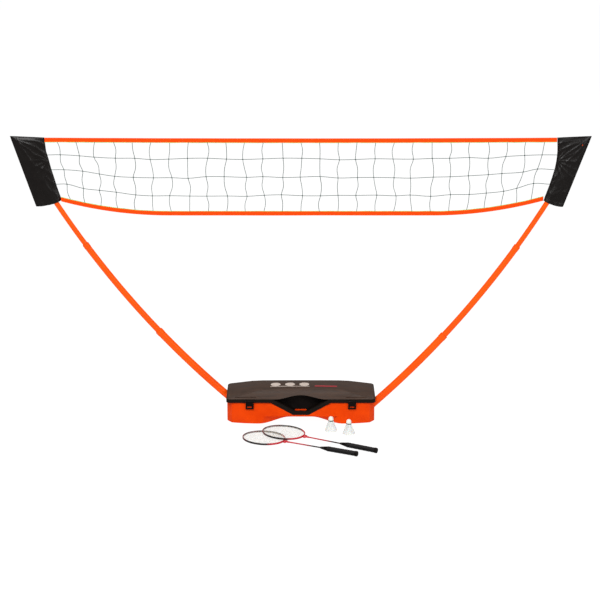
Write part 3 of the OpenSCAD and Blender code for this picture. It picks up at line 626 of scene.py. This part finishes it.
def makeSleeve(side, turn, seed):
    place = Matrix.Rotation(turn, 4, "Z") @ leanedPlane
    mesh = bmesh.new()
    for face in (-1, 1):
        grid = bmesh.ops.create_grid(mesh, x_segments=sleeve["columns"], y_segments=sleeve["rows"], size=0.5)
        for vertex in grid["verts"]:
            u, v = vertex.co.x + 0.5, vertex.co.y + 0.5
            spot = sleevePoint(u, v, side)[0]
            height = sleeveHeight(u, v, side, seed + face)
            if v < sleeve["hem"]:
                height += sleeve["hemRise"] * min(1, u / sleeve["hem"], (1 - u) / sleeve["hem"])
            vertex.co = (spot.x, face * height, spot.y)
    bmesh.ops.remove_doubles(mesh, verts=mesh.verts, dist=0.05 * mm)
    body = f"pole_{side}_upper"
    piece = finishPiece(f"sleeve{side.title()}", mesh, sleeveNylon, body, place=place,
                        replaced=(f"net_sleeve_{side}",))
    thick = piece.modifiers.new("cloth", "SOLIDIFY")
    thick.thickness = sleeve["cloth"]
    thick.offset = 0
    applyModifiers(piece)
    piece.data.shade_smooth()
    piping = bmesh.new()
    steps = sleeve["pipeSteps"]
    rim = [sleevePoint(0, v / steps, side)[0] for v in range(steps + 1)]
    rim += [sleevePoint(u / 5, 1, side)[0] for u in range(1, 6)]
    rim += [sleevePoint(1, v / steps, side)[0] for v in range(steps - 1, -1, -1)]
    tubeMesh(piping, [[Vector((p.x, 0, p.y)) for p in rim]], sleeve["piping"], detail=3, smoothLine=False)
    seam = finishPiece(f"sleevePiping{side.title()}", piping, sleeveNylon, body, place=place)
    for soft in (piece, seam):
        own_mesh(soft)


makeSleeve("right", 0, 2.0)
makeSleeve("left", math.pi, 9.0)
print("sleeves made")


# Rackets

racket = {"length": 0.667, "head": 0.240, "width": 0.195, "frameHeight": 10.5 * mm, "frameWidth": 8 * mm,
          "groove": 1.4 * mm, "grooveFrom": 3.6 * mm, "jointEdge": 1.4 * mm, "mains": 22, "crosses": 24,
          "string": 0.45 * mm, "crossSpan": 1.9, "mainSpan": 1.88, "crossIn": 2 * mm, "mainIn": 1 * mm,
          "stringEnd": 3 * mm,
          "front": (0.290, -0.632, 152.4, 0.0146, -0.80), "back": (0.393, -0.586, 152.2, 0.0146, 0.55)}
racket["middle"] = racket["length"] - racket["head"] / 2
grip = {"length": 0.170, "start": 12 * mm, "over": 1 * mm, "radius": 13.4 * mm, "sink": 0.6 * mm, "wrap": 24 * mm,
        "rise": 0.75 * mm, "gap": 0.7 * mm, "gapShare": 0.06}
grommet = {"wide": 1.5 * mm, "narrow": 0.9 * mm, "depth": 3 * mm, "out": 0.8 * mm}


def racketPlace(which):
    x, y, heading, height, tilt = racket[which]
    return (Matrix.Translation((x, y, height)) @ Matrix.Rotation(math.radians(heading), 4, "Z")
            @ Matrix.Rotation(math.radians(-tilt), 4, "Y"))


def makeFrame(which, lacquer):
    mesh = bmesh.new()
    bmesh.ops.create_circle(mesh, segments=16, radius=1)
    squash = Matrix.Diagonal((racket["frameWidth"] / 2, racket["frameHeight"] / 2, 1, 1))
    upright = Matrix.Rotation(math.pi / 2, 4, "X")
    ringRadius = racket["head"] / 2 - racket["frameWidth"] / 2
    bmesh.ops.transform(mesh, matrix=Matrix.Translation((ringRadius, 0, 0)) @ upright @ squash, verts=mesh.verts)
    for vertex in mesh.verts:  # the string groove round the outside
        if vertex.co.x - ringRadius > racket["grooveFrom"]:
            vertex.co.x -= racket["groove"]
    bmesh.ops.spin(mesh, geom=mesh.edges[:] + mesh.verts[:], cent=(0, 0, 0), axis=(0, 0, 1), angle=2 * math.pi,
                   steps=112, use_merge=True)
    bmesh.ops.remove_doubles(mesh, verts=mesh.verts, dist=weld)
    oval = Matrix.Translation((racket["middle"], 0, 0)) @ Matrix.Diagonal((1, racket["width"] / racket["head"], 1, 1))
    bmesh.ops.transform(mesh, matrix=oval, verts=mesh.verts)
    tone = mesh.verts.layers.float.new("tone")
    for vertex in mesh.verts:
        vertex[tone] = (vertex.co.x - racket["length"] + racket["head"]) / racket["head"]
    finishPiece(f"racketFrame{which.title()}", mesh, lacquer, f"racket_{which}",
                place=racketPlace(which), replaced=(f"racket_{which}_frame",))


def makeStrings(which):
    halfLong = racket["head"] / 2 - racket["frameWidth"] + racket["mainIn"]
    halfWide = racket["width"] / 2 - racket["frameWidth"] + racket["crossIn"]
    mains, crosses = racket["mains"], racket["crosses"]
    xs = [halfLong * racket["crossSpan"] * (i / (crosses - 1) - 0.5) for i in range(crosses)]
    ys = [halfWide * racket["mainSpan"] * (i / (mains - 1) - 0.5) for i in range(mains)]
    paths = []
    # Mains first, then crosses, which pass over where a main passes under
    for lines, crossings, reach, width, first in ((ys, xs, halfLong, halfWide, 1), (xs, ys, halfWide, halfLong, -1)):
        for i, fixed in enumerate(lines):
            end = reach * math.sqrt(max(0, 1 - (fixed / width) ** 2))
            inside = [(spot, first * (1 if (i + j) % 2 else -1) * racket["string"])
                      for j, spot in enumerate(crossings) if abs(spot) < end - racket["stringEnd"]]
            path = [(-end, 0), *inside, (end, 0)]
            paths.append([Vector((a, fixed, z) if first > 0 else (fixed, a, z)) for a, z in path])
    mesh = bmesh.new()
    tubeMesh(mesh, paths, racket["string"], sides=0, smoothLine=False)
    for path in paths:  # grommets where a string enters the frame
        for end, inner in ((path[0], path[1]), (path[-1], path[-2])):
            way = (inner - end).normalized()
            turn = way.to_track_quat("Z", "Y").to_matrix().to_4x4()
            spot = Matrix.Translation(end + way * grommet["out"]) @ turn
            bmesh.ops.create_cone(mesh, cap_ends=True, segments=6, radius1=grommet["wide"], radius2=grommet["narrow"],
                                  depth=grommet["depth"], matrix=spot)
    centre = Matrix.Translation((racket["middle"], 0, 0))
    finishPiece(f"racketStrings{which.title()}", mesh, stringNylon, f"racket_{which}", smooth=False,
                place=racketPlace(which) @ centre, replaced=(f"racket_{which}_strings",))


def makeGrip(which):
    # A tape wound round an eight-sided handle, each turn lapping the last
    mesh = bmesh.new()
    start, end = grip["start"], grip["length"] + grip["over"]
    bmesh.ops.create_grid(mesh, x_segments=48, y_segments=190, size=0.5)
    for vertex in mesh.verts:
        share, turn = vertex.co.y + 0.5, (vertex.co.x + 0.5) * 2 * math.pi
        x = start + (end - start) * share
        side = (turn + math.pi / 8) % (math.pi / 4) - math.pi / 8
        lap = (x / grip["wrap"] - turn / (2 * math.pi)) % 1
        step = grip["rise"] * (1 - lap) - (grip["gap"] if lap < grip["gapShare"] else 0)
        radius = grip["radius"] * 0.5 * (1 + math.cos(math.pi / 8) / math.cos(side)) - grip["sink"] + step
        vertex.co = (x, radius * math.cos(turn), radius * math.sin(turn))
    bmesh.ops.remove_doubles(mesh, verts=mesh.verts, dist=weld)
    bmesh.ops.holes_fill(mesh, edges=[e for e in mesh.edges if e.is_boundary], sides=0)
    piece = finishPiece(f"racketGrip{which.title()}", mesh, gripPolyurethane, f"racket_{which}",
                        place=racketPlace(which), replaced=(f"racket_{which}_grip",))
    piece.data.set_sharp_from_angle(angle=math.radians(50))


headLacquer = racketLacquer("headLacquer", [
    (0.0, "#C8182B"), (0.16, "#C01628"), (0.26, "#1C1213"), (0.7, "#191314"), (0.84, "#5B1A22"), (1.0, "#6A5A5C")])
shaftStops = [(0.0, "#120E0E"), (0.34, "#1A0F10"), (0.5, "#B3162A"), (1.0, "#D01C2E")]
for which in ("front", "back"):
    place = racketPlace(which)
    start = place @ Vector((grip["length"], 0, 0))
    way = (place.to_3x3() @ Vector((1, 0, 0))).normalized()
    length = racket["length"] - racket["head"] - grip["length"]
    shaftLacquer = racketLacquer("shaftLacquer" + which.title(), shaftStops, along=(start, way, length))
    paintNode(f"racket_{which}_shaft", shaftLacquer)
    softenedCopy(f"racket_{which}_joint", f"racketJoint{which.title()}", shaftLacquer, f"racket_{which}",
                 racket["jointEdge"], joinFlats=False)
    makeFrame(which, headLacquer)
    makeStrings(which)
    makeGrip(which)
print("rackets made")


# Shuttlecocks

shuttle = {"left": (0.161, -0.250), "right": (0.255, -0.295), "mouth": 33 * mm, "neck": 13 * mm, "height": 55 * mm,
           "steps": 14, "inside": 0.8 * mm, "sheet": 0.5 * mm, "scallop": 4 * mm, "scallopShare": 0.25, "ribs": 16,
           "rib": 0.75 * mm, "ribFoot": 0.8 * mm, "rings": (0.2, 0.38, 0.56, 0.74), "ring": 0.55 * mm,
           "ringSteps": 48}


def skirtPoint(turn, z):
    radius = shuttle["mouth"] + (shuttle["neck"] - shuttle["mouth"]) * z / shuttle["height"]
    return Vector((radius * math.cos(turn), radius * math.sin(turn), z))


def makeSkirt(side):
    place = Matrix.Translation((*shuttle[side], 0))
    inside = Vector((shuttle["inside"], 0, 0))
    mesh = bmesh.new()
    line = [mesh.verts.new(skirtPoint(0, shuttle["height"] * i / shuttle["steps"]) - inside)
            for i in range(shuttle["steps"] + 1)]
    for low, high in zip(line, line[1:]):
        mesh.edges.new((low, high))
    bmesh.ops.spin(mesh, geom=mesh.edges[:] + mesh.verts[:], cent=(0, 0, 0), axis=(0, 0, 1), angle=2 * math.pi,
                   steps=96, use_merge=True)
    bmesh.ops.remove_doubles(mesh, verts=mesh.verts, dist=weld)
    for vertex in mesh.verts:
        turn = math.atan2(vertex.co.y, vertex.co.x)
        fade = max(0, 1 - vertex.co.z / (shuttle["height"] * shuttle["scallopShare"]))
        vertex.co.z += shuttle["scallop"] * fade * (1 - abs(math.cos(turn * shuttle["ribs"] / 2)))
    piece = finishPiece(f"skirt{side.title()}", mesh, skirtNylon, f"shuttle_{side}", place=place,
                        replaced=(f"shuttle_{side}_skirt",))
    thick = piece.modifiers.new("sheet", "SOLIDIFY")
    thick.thickness = shuttle["sheet"]
    thick.offset = 0
    ribs = bmesh.new()
    turns = [2 * math.pi * k / shuttle["ribs"] for k in range(shuttle["ribs"])]
    paths = [[skirtPoint(turn, z) for z in (shuttle["ribFoot"], shuttle["height"])] for turn in turns]
    tubeMesh(ribs, paths, shuttle["rib"], smoothLine=False)
    turns = [2 * math.pi * i / shuttle["ringSteps"] for i in range(shuttle["ringSteps"] + 1)]
    for share in shuttle["rings"]:
        ring = [skirtPoint(turn, shuttle["height"] * share) for turn in turns]
        tubeMesh(ribs, [ring], shuttle["ring"], sides=0, smoothLine=False)
    finishPiece(f"skirtRibs{side.title()}", ribs, skirtNylon, f"shuttle_{side}", place=place)


for side in ("left", "right"):
    makeSkirt(side)
print("shuttlecocks made")
